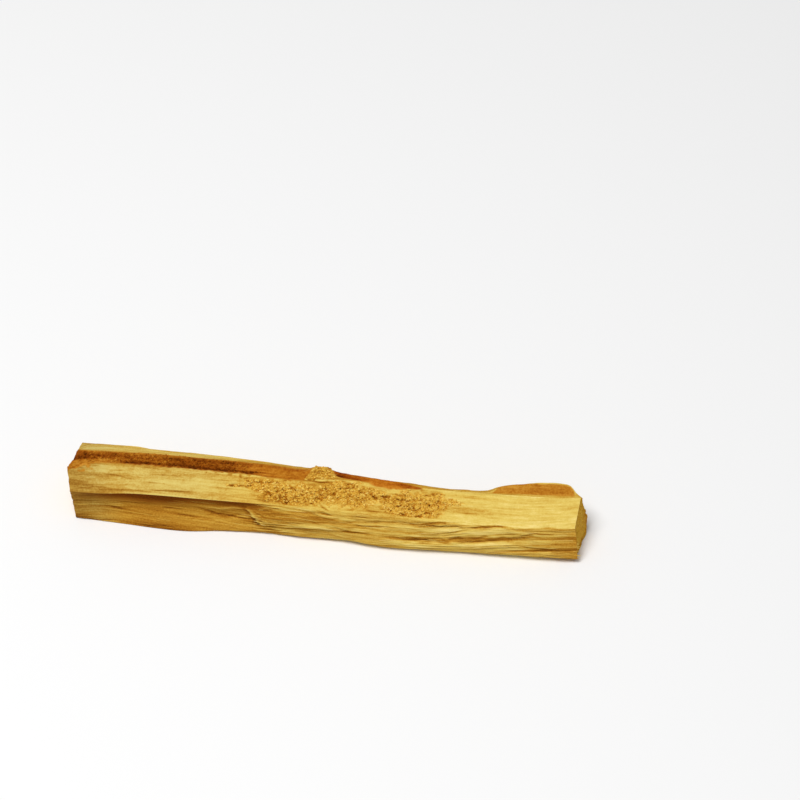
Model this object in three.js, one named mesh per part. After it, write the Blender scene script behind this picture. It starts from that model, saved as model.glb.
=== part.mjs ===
// A palo santo stick: one length of resinous wood, split along the grain and sawn off at both ends.
// It lies along X on its flat sawn underside, with its broad pale face up and towards -Y.
import * as THREE from "three";

// Driving dimensions, in millimetres.
const STATIONS = 102;             // steps along the stick, about a millimetre each
const CHANNEL_DEPTH = 0.45;       // how far the bark channel lies under the edges beside it
const CRUMB_HEIGHT = 0.22;        // lumps of the torn, crumbly patch on the broad face
const CRUMB_PITCH = 2.9;          // distance from one of those lumps to the next
const ROPE_HEIGHT = 0.16;         // long swells of the grain on the split sides
const SAWN_ROUGHNESS = 0.18;      // how far fibre bundles stand out of a cut end

// The long edges of the stick, from its left end to its right one, as [x, y, z].
// They run once round the section, from the front foot up, over the top and down the back.
const FRONT_FOOT = [
  [-48.3, -5.9, 0], [-27.8, -6.8, 0], [-19.2, -5.7, 0], [-11.3, -5.1, 0], [-4.2, -5.5, 0],
  [4.3, -5.2, 0], [11.4, -5.9, 0], [20.0, -5.8, 0], [36.3, -5.1, 0], [49.0, -4.5, 0],
];
const FRONT_LIP = [
  [-48.4, -6.1, 0.3], [-39.7, -6.4, 0.3], [-27.8, -7.0, 0.3], [-19.2, -6.1, 0.5], [-11.3, -5.8, 0.9],
  [-4.2, -6.0, 1.2], [4.3, -6.2, 1.4], [11.4, -6.9, 1.2], [20.0, -6.8, 1.4], [29.4, -6.4, 1.5],
  [46.0, -5.8, 1.5], [49.4, -5.5, 1.3],
];
const FRONT_WAIST = [
  [-48.9, -5.4, 3.8], [-44.0, -4.7, 3.7], [-36.0, -4.0, 3.6], [-28.0, -3.7, 3.6], [-20.0, -3.9, 3.6],
  [-14.0, -4.4, 3.7], [-10.5, -5.2, 3.8], [0.0, -5.7, 3.8], [12.0, -6.1, 3.6], [24.0, -5.9, 3.6],
  [36.0, -5.6, 3.6], [49.2, -4.5, 3.6],
];
const FRONT_ARRIS = [
  [-49.2, -5.7, 7.4], [-44.1, -5.6, 7.4], [-36.4, -4.8, 7.4], [-23.9, -4.6, 7.4], [-7.9, -4.4, 7.4],
  [11.0, -4.4, 7.2], [36.8, -4.4, 7.0], [45.6, -3.5, 7.1], [48.5, -2.9, 7.3],
];
const TOP_ARRIS = [
  [-50.4, -1.5, 9.6], [-48.2, -0.1, 9.6], [-40.8, 0.8, 9.6], [-29.4, 1.1, 9.6], [-16.5, 1.1, 9.6],
  [-6.8, 0.8, 9.6], [2.3, 1.8, 9.6], [18.0, 1.6, 9.6], [31.7, 1.8, 9.6], [45.0, 2.4, 9.6], [49.0, 3.0, 9.6],
];
const BARK_EDGE = [
  [-49.2, 2.9, 9.5], [-40.3, 3.4, 9.5], [-35.1, 3.8, 9.5], [-11.6, 4.0, 9.5], [-4.4, 3.9, 9.5],
  [-2.6, 4.3, 10.0], [0.2, 4.2, 10.05], [1.8, 3.5, 9.6], [9.8, 2.8, 9.6], [17.9, 2.5, 9.6], [22.7, 2.0, 9.5],
  [30.8, 2.1, 9.6], [33.2, 3.3, 9.9], [35.6, 4.1, 10.1], [40.6, 5.0, 10.2], [43.8, 5.5, 10.2],
  [46.6, 5.2, 10.1], [47.8, 4.0, 9.8], [49.3, 3.2, 9.2],
];
const BACK_CREST = [
  [-48.7, 5.6, 9.1], [-39.0, 5.7, 9.2], [-32.3, 5.6, 9.2], [-20.0, 5.5, 9.0], [-11.0, 5.3, 8.7],
  [-4.0, 5.1, 8.4], [0.0, 4.9, 8.2], [10.0, 4.0, 8.0], [20.0, 3.5, 7.9], [30.0, 3.5, 8.0],
  [34.0, 4.7, 8.8], [43.8, 5.9, 9.1], [47.0, 5.5, 8.7], [49.5, 3.0, 7.6],
];
const BACK_WAIST = [
  [-49.0, 6.3, 4.8], [-35.0, 6.9, 4.5], [-20.0, 6.6, 4.2], [0.0, 6.1, 4.6], [18.0, 5.0, 4.3],
  [33.0, 4.9, 4.7], [44.0, 5.2, 4.5], [50.5, 3.5, 3.5],
];
const BACK_FOOT = [
  [-48.6, 5.2, 0], [-35.0, 5.9, 0], [-15.0, 5.5, 0], [5.0, 5.2, 0], [20.0, 4.3, 0],
  [33.0, 3.9, 0], [44.0, 3.7, 0], [50.5, 1.9, 0],
];

// The faces between one edge and the next, in the same order, and how many strips each is cut in.
// A place on the skin is x and v: v counts edges, so 3.5 is the middle of the broad top face.
const FACES = [
  { name: "bevel under the front", from: FRONT_FOOT, to: FRONT_LIP, strips: 2 },
  { name: "front, below the waist", from: FRONT_LIP, to: FRONT_WAIST, strips: 5 },
  { name: "front, above the waist", from: FRONT_WAIST, to: FRONT_ARRIS, strips: 7 },
  { name: "broad top", from: FRONT_ARRIS, to: TOP_ARRIS, strips: 8 },
  { name: "bark channel", from: TOP_ARRIS, to: BARK_EDGE, strips: 4 },
  { name: "back of the top", from: BARK_EDGE, to: BACK_CREST, strips: 3 },
  { name: "back, above the waist", from: BACK_CREST, to: BACK_WAIST, strips: 8 },
  { name: "back, below the waist", from: BACK_WAIST, to: BACK_FOOT, strips: 7 },
  { name: "underside", from: BACK_FOOT, to: FRONT_FOOT, strips: 1 },
];
const BROAD_TOP = 3;
const CHANNEL = 4;
const BACK = 5;
const UNDERSIDE = 8;

// Furrows, and ridges, whose depth is below zero: the places [x, v] that each runs through, half its width
// and its depth.
const FURROWS = [
  { path: [[-26.5, 2.15], [-22.3, 1.93], [-17.3, 1.88], [-13.8, 1.94]], half: 0.5, depth: 0.34 },
  { path: [[-26.0, 2.2], [-22.1, 2.3], [-12.5, 2.46]], half: 0.4, depth: -0.35 },
  { path: [[-12.5, 1.38], [-6.3, 1.54], [-0.5, 1.65], [6.0, 1.73]], half: 0.45, depth: 0.3 },
  { path: [[-10, 2.74], [-4.5, 2.72], [4.3, 2.5], [11.0, 2.7], [17.1, 2.88]], half: 0.5, depth: 0.24 },
  { path: [[-9.5, 2.3], [-2.0, 2.2], [10.6, 2.28]], half: 0.45, depth: 0.2 },
  { path: [[9.3, 1.72], [16.0, 1.86], [23.8, 2.08]], half: 0.45, depth: 0.2 },
  { path: [[10.0, 2.4], [22.7, 2.58]], half: 0.45, depth: -0.2 },
  { path: [[12.0, 2.84], [18.0, 2.7], [25.0, 2.88]], half: 0.4, depth: 0.22 },
  { path: [[15.0, 2.78], [24.0, 2.95], [30.5, 3.1]], half: 0.4, depth: 0.25 },
  { path: [[19.0, 2.6], [24.8, 2.78], [30.8, 2.97], [38.5, 3.04]], half: 0.45, depth: 0.34 },
  { path: [[34.5, 2.82], [40.1, 2.94], [48.5, 2.98]], half: 0.4, depth: 0.22 },
  { path: [[13.0, 1.8], [25.8, 2.12], [32.0, 2.27], [48.5, 2.3]], half: 0.85, depth: 0.32 },
  { path: [[21.0, 2.46], [25.8, 2.54], [35.7, 2.7]], half: 0.5, depth: -0.2 },
  { path: [[16.0, 1.5], [22.5, 1.58], [37.1, 1.98]], half: 0.6, depth: -0.22 },
  { path: [[32.5, 1.5], [36.7, 1.47], [48.0, 1.5]], half: 0.5, depth: 0.16 },
  { path: [[-50, 6.45], [-36, 6.35], [-19, 6.6]], half: 0.7, depth: 0.45 },
  { path: [[-34, 6.95], [-14, 6.8], [10, 6.7]], half: 0.7, depth: 0.4 },
  { path: [[-10, 7.35], [10, 7.2], [34, 7.3]], half: 0.7, depth: 0.35 },
  { path: [[12, 6.5], [30, 6.55], [50, 6.75]], half: 0.7, depth: 0.4 },
  { path: [[-48, 7.4], [-30, 7.3], [-10, 7.45]], half: 0.6, depth: 0.25 },
  { path: [[-44, 6.72], [-24, 6.85]], half: 0.6, depth: -0.3 },
  { path: [[-10, 6.4], [14, 6.3]], half: 0.7, depth: -0.3 },
  { path: [[18, 6.95], [40, 6.85]], half: 0.5, depth: -0.25 },
];
const FADE = 0.42;                // share of a furrow's length over which it deepens from each end

// The hollow under the left half of the front arris, deepest at place v.
const HOLLOW = { x: [-50, -5], soft: 9, v: 2.68, across: 0.3, depth: 0.5 };

// A layer of the front left standing where the split jumped: its left edge as [v, x], its lower one as
// [x, v].
const LEDGE = {
  left: [[1.5, -12.2], [1.76, -13.1], [2.12, -14.2], [2.5, -15.2]],
  foot: [[-12.2, 1.46], [-6.3, 1.6], [-0.5, 1.7], [6.0, 1.8]],
  height: 0.38,
};

// The lump of broken wood in the channel, and the torn patch on the broad face.
const BUMP = { x: -1.2, v: 4.5, along: 1.8, across: 0.9, height: 0.12 };
const CRUMB_PATCH = { x: 3.5, v: 3.52, along: 21, across: 0.42 };

// y and z of an edge where it passes x, on a smooth curve through the edge's points.
function edgeCurve(points) {
  const places = new Float32Array(points.map((p) => p[0]));
  const values = new Float32Array(points.flatMap((p) => [p[1], p[2]]));
  return new THREE.CubicInterpolant(places, values, 2, new Float32Array(2));
}

// The point of an edge at share t of its own length, so that every edge starts and ends on a cut end.
function edgePoint(points, curve, t) {
  const first = points[0][0];
  const last = points[points.length - 1][0];
  const x = first + t * (last - first);
  const [y, z] = curve.evaluate(x);
  return new THREE.Vector3(x, y, z);
}

const curves = new Map(FACES.map((face) => [face.from, edgeCurve(face.from)]));

// The plain skin, without its relief, at share t of the length and place v round the section.
function plainSkin(t, v) {
  const index = Math.min(Math.floor(v), FACES.length - 1);
  const face = FACES[index];
  const low = edgePoint(face.from, curves.get(face.from), t);
  const high = edgePoint(face.to, curves.get(face.to), t);
  return low.lerp(high, v - index);
}

// Rises smoothly from 0 to 1 within `soft` of each end of a stretch, and is 1 between them.
function stretch(x, [start, end], soft) {
  const rising = THREE.MathUtils.smoothstep(x, start, start + soft);
  return rising * (1 - THREE.MathUtils.smoothstep(x, end - soft, end));
}

function bell(distance, reach) {
  return Math.exp(-((distance / reach) ** 2));
}

function shareAt(x) {
  const first = TOP_ARRIS[0][0];
  const last = BACK_FOOT[BACK_FOOT.length - 1][0];
  return THREE.MathUtils.clamp((x - first) / (last - first), 0, 1);
}

// The value of a broken line through the given points where it passes x.
function lineAt(points, x) {
  if (x <= points[0][0]) return points[0][1];
  const next = points.findIndex((p) => p[0] > x);
  if (next < 0) return points[points.length - 1][1];
  const [[x0, value0], [x1, value1]] = [points[next - 1], points[next]];
  return THREE.MathUtils.lerp(value0, value1, (x - x0) / (x1 - x0));
}

// How far point p lies from place v of its own section.
function fromPlace(p, v) {
  const other = plainSkin(shareAt(p.x), v);
  return Math.hypot(p.y - other.y, p.z - other.z);
}

// The standing layer: 1 on it, falling to 0 over its left and lower edges and slowly at the other two.
function ledge(p, v) {
  const left = THREE.MathUtils.smoothstep(p.x - lineAt(LEDGE.left, v), 0, 0.9);
  const foot = lineAt(LEDGE.foot, p.x);
  const above = v > foot ? THREE.MathUtils.smoothstep(fromPlace(p, foot), 0, 0.4) : 0;
  const fade = THREE.MathUtils.smoothstep(v, 2.25, 2.85) + THREE.MathUtils.smoothstep(p.x, -5, 5);
  return left * above * Math.max(0, 1 - fade);
}

// How far the skin stands out of (or, below zero, sinks under) the plain one at point p, place v.
function relief(p, v) {
  let height = LEDGE.height * ledge(p, v);
  for (const { path, half, depth } of FURROWS) {
    const run = [path[0][0], path[path.length - 1][0]];
    const fade = stretch(p.x, run, FADE * (run[1] - run[0]));
    if (fade > 0) height -= depth * fade * bell(fromPlace(p, lineAt(path, p.x)), half);
  }
  if (v < BROAD_TOP) {
    height -= HOLLOW.depth * stretch(p.x, HOLLOW.x, HOLLOW.soft) * bell(v - HOLLOW.v, HOLLOW.across);
  }
  height += BUMP.height * bell(p.x - BUMP.x, BUMP.along) * bell(fromPlace(p, BUMP.v), BUMP.across);
  const channel = Math.min(v - CHANNEL, CHANNEL + 1 - v);
  if (channel > 0) height -= CHANNEL_DEPTH * Math.min(1, channel * 4) * stretch(p.x, [-52, -3], 2);
  const patch = bell(p.x - CRUMB_PATCH.x, CRUMB_PATCH.along) * bell(v - CRUMB_PATCH.v, CRUMB_PATCH.across);
  const pitch = (2 * Math.PI) / CRUMB_PITCH;
  const crumbs = Math.sin(p.x * pitch + 1.3 * p.y) * Math.sin(p.y * pitch * 1.1 - 0.6 * p.x);
  height += CRUMB_HEIGHT * patch * crumbs;
  const side = v < BROAD_TOP || v > BACK ? 1 : 0;
  const swell = Math.sin(2.6 * p.z + 0.11 * p.x + 0.8 * Math.sin(0.09 * p.x + v));
  return height + side * ROPE_HEIGHT * swell;
}

// One section of the stick: its plain points, pushed in or out across the grain by the relief.
function section(t) {
  const ring = [];
  FACES.forEach((face, index) => {
    for (let strip = 0; strip < face.strips; strip++) {
      const v = index + strip / face.strips;
      const p = plainSkin(t, v);
      const before = plainSkin(t, (v + FACES.length - 0.1) % FACES.length);
      const after = plainSkin(t, (v + 0.1) % FACES.length);
      const outward = new THREE.Vector3(0, before.z - after.z, after.y - before.y).normalize();
      if (v > 0 && v < UNDERSIDE) p.addScaledVector(outward, relief(p, v));
      p.z = Math.max(p.z, 0);
      ring.push(p);
    }
  });
  return ring;
}

// A cut end: the section drawn in towards its middle in steps, with fibre bundles left standing.
function cutEnd(ring, facing) {
  const middle = ring.reduce((sum, p) => sum.add(p), new THREE.Vector3()).divideScalar(ring.length);
  const rings = [0.2, 0.45, 0.7].map((share) =>
    ring.map((p) => {
      const q = p.clone().lerp(middle, share);
      q.x -= facing * SAWN_ROUGHNESS * (1 + Math.sin(2.1 * q.y + 0.7) * Math.sin(1.7 * q.z + 2 * facing));
      return q;
    }),
  );
  middle.x -= facing * SAWN_ROUGHNESS;
  return { rings, middle };
}

function stick() {
  const sections = [];
  for (let i = 0; i <= STATIONS; i++) sections.push(section(i / STATIONS));
  const left = cutEnd(sections[0], -1);
  const right = cutEnd(sections[STATIONS], 1);
  const rows = [...left.rings.toReversed(), ...sections, ...right.rings];
  const round = rows[0].length;
  const points = [...rows.flat(), left.middle, right.middle];
  const triangles = [];
  for (let row = 0; row + 1 < rows.length; row++) {
    for (let j = 0; j < round; j++) {
      const next = (j + 1) % round;
      const a = row * round + j;
      const d = row * round + next;
      triangles.push(a, a + round, d + round, a, d + round, d);
    }
  }
  const lastRow = (rows.length - 1) * round;
  for (let j = 0; j < round; j++) {
    const next = (j + 1) % round;
    triangles.push(points.length - 2, j, next);
    triangles.push(points.length - 1, lastRow + next, lastRow + j);
  }
  const geometry = new THREE.BufferGeometry().setFromPoints(points);
  geometry.setIndex(triangles);
  geometry.computeVertexNormals();
  const wood = new THREE.MeshStandardMaterial({ color: 0xd9b457, roughness: 0.75, metalness: 0 });
  const mesh = new THREE.Mesh(geometry, wood);
  mesh.name = "stick";
  return mesh;
}

const model = new THREE.Group();
model.add(stick());
export default model;
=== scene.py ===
import bpy
import numpy as np
from mathutils import Matrix, Vector


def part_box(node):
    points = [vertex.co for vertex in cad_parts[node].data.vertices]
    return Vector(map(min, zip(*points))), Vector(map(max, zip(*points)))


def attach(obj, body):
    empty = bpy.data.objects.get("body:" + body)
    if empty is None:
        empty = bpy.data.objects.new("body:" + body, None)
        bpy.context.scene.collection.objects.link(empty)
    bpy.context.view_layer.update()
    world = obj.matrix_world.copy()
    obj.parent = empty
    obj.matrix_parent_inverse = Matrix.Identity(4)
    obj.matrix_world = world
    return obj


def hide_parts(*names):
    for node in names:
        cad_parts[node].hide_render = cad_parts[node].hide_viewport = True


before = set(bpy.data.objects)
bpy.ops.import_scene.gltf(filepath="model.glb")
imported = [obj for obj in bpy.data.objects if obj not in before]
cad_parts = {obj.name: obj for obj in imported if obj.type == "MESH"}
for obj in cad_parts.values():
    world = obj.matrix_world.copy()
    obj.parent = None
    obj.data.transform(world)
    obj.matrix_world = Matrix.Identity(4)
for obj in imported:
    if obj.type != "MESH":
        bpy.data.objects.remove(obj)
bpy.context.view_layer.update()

# The stick. A single length of palo santo, split along the grain with a blade, so that its long edges
# wander and its sides tear into furrows and ledges, and sawn off at both ends. It is shaped here in
# millimetres, from its long edges: each is a row of points x, y, z from the left end to the right one.
MM = 0.001
FRONT_FOOT = [
    [-48.3, -5.9, 0], [-27.8, -6.8, 0], [-19.2, -5.7, 0], [-11.3, -5.1, 0], [-4.2, -5.5, 0],
    [4.3, -5.2, 0], [11.4, -5.9, 0], [20, -5.8, 0], [36.3, -5.1, 0], [49, -4.5, 0],
]
FRONT_LIP = [
    [-48.4, -6.1, 0.3], [-39.7, -6.4, 0.3], [-27.8, -6.9, 0.3], [-19.2, -6.1, 0.5], [-11.3, -5.8, 0.9],
    [-4.2, -6, 1.2], [4.3, -6.2, 1.4], [11.4, -6.9, 1.2], [20, -6.8, 1.4], [29.4, -6.4, 1.5],
    [46, -5.8, 1.5], [49.4, -5.5, 1.3],
]
FRONT_WAIST = [
    [-48.9, -5.4, 3.8], [-44, -4.7, 3.7], [-36, -4, 3.6], [-28, -3.7, 3.6], [-20, -3.9, 3.6],
    [-14, -4.4, 3.7], [-10.5, -5.2, 3.8], [0, -5.7, 3.8], [12, -6.1, 3.6], [24, -5.9, 3.6],
    [36, -5.6, 3.6], [49.2, -4.5, 3.6],
]
FRONT_ARRIS = [
    [-49.2, -5.7, 7.4], [-44.1, -5.6, 7.4], [-36.4, -4.8, 7.4], [-23.9, -4.6, 7.4], [-7.9, -4.4, 7.4],
    [11, -4.4, 7.2], [36.8, -4.4, 7], [45.6, -3.5, 7.1], [48.5, -2.9, 7.3],
]
TOP_ARRIS = [
    [-50.4, -1.5, 9.6], [-48.2, -0.1, 9.6], [-40.8, 0.8, 9.6], [-29.4, 1.1, 9.6], [-16.5, 1.1, 9.6],
    [-6.8, 0.8, 9.6], [2.3, 1.8, 9.6], [18, 1.6, 9.6], [31.7, 1.8, 9.6], [45, 2.4, 9.6],
    [49, 3, 9.6],
]
BARK_EDGE = [
    [-49.2, 2.9, 9.5], [-40.3, 3.4, 9.5], [-35.1, 3.8, 9.5], [-11.6, 4, 9.5], [-4.4, 3.9, 9.5],
    [-2.5, 4.35, 9.9], [0.3, 4, 9.75], [1.8, 3.5, 9.6], [9.8, 2.8, 9.6], [17.9, 2.5, 9.6],
    [22.7, 2, 9.5], [30.8, 2.1, 9.6], [33.2, 3.3, 9.9], [35.6, 4.1, 10], [40.6, 5, 10.1],
    [43.8, 5.5, 10.1], [46.6, 5.2, 10], [47.8, 4, 9.8], [49.3, 3.2, 9.2],
]
BACK_CREST = [
    [-48.7, 5.6, 9.1], [-39, 5.7, 9.2], [-32.3, 5.6, 9.2], [-20, 5.5, 9], [-11, 5.3, 8.7],
    [-4, 5.1, 8.4], [0, 4.9, 8.2], [10, 4, 8], [20, 3.5, 7.9], [30, 3.5, 8],
    [34, 4.7, 8.8], [43.8, 5.9, 9.1], [47, 5.5, 8.7], [49.5, 3, 7.6],
]
BACK_WAIST = [
    [-49, 6.3, 4.8], [-35, 6.9, 4.5], [-20, 6.6, 4.2], [0, 6.1, 4.6], [18, 5, 4.3],
    [33, 4.9, 4.7], [44, 5.2, 4.5], [50.5, 3.5, 3.5],
]
BACK_FOOT = [
    [-48.6, 5.2, 0], [-35, 5.9, 0], [-15, 5.5, 0], [5, 5.2, 0], [20, 4.3, 0],
    [33, 3.9, 0], [44, 3.7, 0], [50.5, 1.9, 0],
]
EDGES = [FRONT_FOOT, FRONT_LIP, FRONT_WAIST, FRONT_ARRIS, TOP_ARRIS, BARK_EDGE, BACK_CREST, BACK_WAIST,
         BACK_FOOT, FRONT_FOOT]
STRIPS = [6, 24, 32, 48, 30, 16, 28, 22, 12]  # how many strips each face between two edges is cut in
STATIONS = 425  # steps along the stick, a quarter of a millimetre each

# A place round the stick counts its edges from the front foot: the middle of the broad top is place 3.5.
BROAD_TOP, CHANNEL, NARROW_TOP, BACK, UNDERSIDE = 3, 4, 5, 6, 8


def edge_at(points, share):
    """The edge at a share of its length: x runs evenly from end to end, and y and z follow a cubic through
    the points, whose slope at each is the slope between its two neighbours."""
    points = np.array(points, float)
    x = points[0, 0] + share * (points[-1, 0] - points[0, 0])
    slope = np.gradient(points[:, 1:], points[:, 0], axis=0, edge_order=1)
    slope[1:-1] = (points[2:, 1:] - points[:-2, 1:]) / (points[2:, :1] - points[:-2, :1])
    left = np.clip(np.searchsorted(points[:, 0], x, side="right") - 1, 0, len(points) - 2)
    gap = (points[left + 1, 0] - points[left, 0])[:, None]
    t = (x - points[left, 0])[:, None] / gap
    yz = ((2 * t**3 - 3 * t**2 + 1) * points[left, 1:] + (t**3 - 2 * t**2 + t) * gap * slope[left]
          + (3 * t**2 - 2 * t**3) * points[left + 1, 1:] + (t**3 - t**2) * gap * slope[left + 1])
    return np.column_stack([x, yz])


edges = np.stack([edge_at(points, np.linspace(0, 1, STATIONS + 1)) for points in EDGES])
face_widths = np.linalg.norm(np.diff(edges[..., 1:], axis=0), axis=-1)
reached = np.concatenate([np.zeros((1, STATIONS + 1)), np.cumsum(face_widths, axis=0)])
station = np.arange(STATIONS + 1)[:, None]
place = np.concatenate([face + np.arange(count) / count for face, count in enumerate(STRIPS)])
ROUND = len(place)
place = np.tile(place, (STATIONS + 1, 1))


def round_to(at):
    """The millimetres round the section from the front foot to a place at every station: the widths of the
    faces before it, and its share of its own face's."""
    face = np.minimum(at.astype(int), len(STRIPS) - 1)
    return reached[face, station] + (at - face) * face_widths[face, station]


def evened(values, rounds):
    """Values averaged round the section: each round takes half of each and a quarter of both neighbours."""
    for _ in range(rounds):
        values = 0.5 * values + 0.25 * (np.roll(values, 1, axis=1) + np.roll(values, -1, axis=1))
    return values


face = place.astype(int)
part = (place - face)[..., None]
skin = edges[face, station] * (1 - part) + edges[face + 1, station] * part
ARRIS_WEAR = 3  # rounds of evening that wear every arris a little round
skin = evened(skin, ARRIS_WEAR)
skin[..., 2][place >= UNDERSIDE] = 0.0
SLOPE_REACH = 4  # the skin's slope is taken from points this many columns off
before, after = np.roll(skin, SLOPE_REACH, axis=1), np.roll(skin, -SLOPE_REACH, axis=1)
outward = np.stack([np.zeros_like(place), before[..., 2] - after[..., 2], after[..., 1] - before[..., 1]],
                   axis=-1)
outward /= np.linalg.norm(outward, axis=-1, keepdims=True)
x = skin[..., 0]
middle_x = x.mean(axis=1)
arc = round_to(place)


def smooth(value, low, high):
    """0 below low, 1 above high, and a smooth rise between them."""
    t = np.clip((value - low) / (high - low), 0, 1)
    return t * t * (3 - 2 * t)


def fading(value, low, high):
    """1 below low, 0 above high, and a smooth fall between them."""
    return 1 - smooth(value, low, high)


def stretch(value, start, end, soft):
    """1 between start and end, falling smoothly to 0 within soft of each."""
    return smooth(value, start, start + soft) * fading(value, end - soft, end)


def bell(distance, reach):
    """1 at no distance, and about a third at a distance of one reach."""
    return np.exp(-((distance / reach) ** 2))


def line_at(points, value):
    """The height of a broken line through the given points where it passes the value."""
    return np.interp(value, *np.array(points).T)


STIR = np.array([374761393, 668265263, 1274126177])  # large odd numbers, which scatter a cell's numbers
STIR_SEED, STIR_AGAIN, STIR_LAST = 362437, 1103515245, 12345701
LOW_BITS = 0x7FFFFFFF


def lattice(seed, cells):
    """A random number from -1 to 1 for each cell of three whole numbers: they and the seed are multiplied
    by large odd numbers and added, and the sum is twice folded on itself and multiplied again."""
    h = ((cells.astype(np.int64) * STIR).sum(axis=-1) + seed * STIR_SEED) & LOW_BITS
    h = ((h ^ (h >> 13)) * STIR_AGAIN) & LOW_BITS
    h = ((h ^ (h >> 16)) * STIR_LAST) & LOW_BITS
    return (h ^ (h >> 15)) % 65536 / 32768.0 - 1.0


def grain(seed, along, across, points):
    """Smooth noise from -1 to 1, drawn out along the first coordinate: random values at the corners of
    cells of the given length and width, blended smoothly inside each cell."""
    scaled = points / np.array([along, across, across])
    cell = np.floor(scaled)
    t = scaled - cell
    t = t * t * (3 - 2 * t)
    total = 0
    for corner in np.ndindex(2, 2, 2):
        weight = np.prod(np.where(np.array(corner) == 1, t, 1 - t), axis=-1)
        total = total + weight * lattice(seed, cell + corner)
    return total


# Fibre coordinates: how far along the stick, and how far round it from an edge of the point's own side. The
# front's fibres sink towards the middle of the stick and climb again to its right end.
FIBRE_CLIMB = [(-50, 0), (-28, 0.1), (-15, -0.9), (4, -1.1), (16, -0.2), (28, 1), (40, 1.9), (50, 2.1)]
SIDE_STARTS = np.array([0, BROAD_TOP, CHANNEL, BACK])  # front, broad top, narrow top, back
MEASURED_FROM = np.array([0, BROAD_TOP, CHANNEL, UNDERSIDE])  # the edge that the side's fibres run along
SIDE_STEP = 17.0  # sets the fibres of one side apart from the next side's
CALMER_TOP = 0.45  # how much the fibres of the broad top sway, beside the others


def along_fibres(side, x, arc, station):
    """The distance round the section from the side's own edge, less the climb of the front's fibres and a
    slow sway of two sine waves, which is calmer on the broad top."""
    run = arc - reached[MEASURED_FROM[side], station]
    climb = line_at(FIBRE_CLIMB, x) * (side == 0)
    sway = 0.35 * np.sin(x / 7.0 + 0.35 * run) + 0.12 * np.sin(x / 3.1 + 1.7 + 0.5 * run)
    run = run - climb - sway * np.where(side == 1, CALMER_TOP, 1.0)
    return np.stack([x, run + SIDE_STEP * side, np.zeros_like(x)], axis=-1)


side = np.searchsorted(SIDE_STARTS, place, side="right") - 1
fibre = along_fibres(side, x, arc, station)
spot = np.stack([x, arc, np.zeros_like(x)], axis=-1)

front = place < BROAD_TOP
top = (place >= BROAD_TOP) & (place < CHANNEL)
narrow_top = (place >= CHANNEL) & (place < BACK)
back = (place >= BACK) & (place < UNDERSIDE)
underside = place >= UNDERSIDE
right_side = smooth(x, 12, 30)

# Two things are built up feature by feature: the relief, in millimetres out of the plain faces, and how
# dark the wood is, from 0 for torn pale fibres to 1 for the bottom of a crack. Some of the darkness is
# painted shade, and some paleness painted highlight, as marked where each is added.
relief = np.zeros_like(x)


def shaded_by(shades):
    """The darkness that a list of shades adds up to. Each is an amount, and where it goes, from 0 to 1."""
    return sum(amount * where for amount, where in shades)


dark = shaded_by([
    (0.61, front), (0.37, top), (0.46, narrow_top), (0.47, back), (0.38, underside),
    (-0.16, front * smooth(x, -13, -6)),  # the front is paler right of its hollow
    (-0.1, front * right_side), (-0.12, top * right_side),  # the right end of both faces is paler still
    (0.13, front * smooth(x, 42, 49)), (0.11, (place < CHANNEL) * fading(x, -49, -43.5)),  # darker at both ends
    (0.12, front * smooth(x, 34, 44) * fading(place, 1.9, 2.6)),  # foot of the front at its right end
    (0.02, top * fading(x, -22, -8)), (0.05, top * fading(x, -40, -30)),  # left end of the broad top
    (0.16, top * fading(place, 3.2, 3.7) * fading(x, -44, -35)),  # the same, along the front arris
    (-0.06, stretch(x, -8, 14, 4) * bell(place - BROAD_TOP, 0.14)),  # the arris itself, paler in the middle
])

# The hollow under the left half of the front arris, painted a warm dark brown as the shade under the
# overhanging arris, and the foot below it, in painted shadow.
HOLLOW_DEPTH = 0.5
HOLLOW_SHADE_FOOT = [(-42, 2.1), (-34, 1.8), (-30, 1.8), (-24, 2.2)]  # x, and the place where the painted shade begins
hollow_run = stretch(x, -50, -8, 9) * front
relief -= HOLLOW_DEPTH * hollow_run * bell(place - 2.68, 0.3)
hollow_shade_foot = line_at(HOLLOW_SHADE_FOOT, x)
# The hollow's painted shade, blended over the wood in the bark's colours.
hollow_shade = 0.92 * hollow_run * smooth(place, hollow_shade_foot, hollow_shade_foot + 0.7)
dark += shaded_by([
    (0.46, hollow_run * smooth(place, 2.15, 2.95)),  # painted shade, deep in the hollow
    (-0.06, hollow_run * bell(place - 1.95, 0.25)),  # where the front bulges below it
    (0.1, hollow_run * fading(x, -30, -24) * bell(place - 1.8, 0.3)),
    (0.14, stretch(x, -13, 4, 3) * bell(place - 2.5, 0.17)),  # a brown streak that carries it on
    (-0.05, stretch(x, -30, -2, 5) * bell(place - 1.4, 0.35)),
    # The foot, in painted shadow up to x -22, except about x -42.
    (0.3, front * fading(place, 1.0, 1.45) * (stretch(x, -60, -42, 6) + stretch(x, -42, -22, 8))),
])
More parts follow.
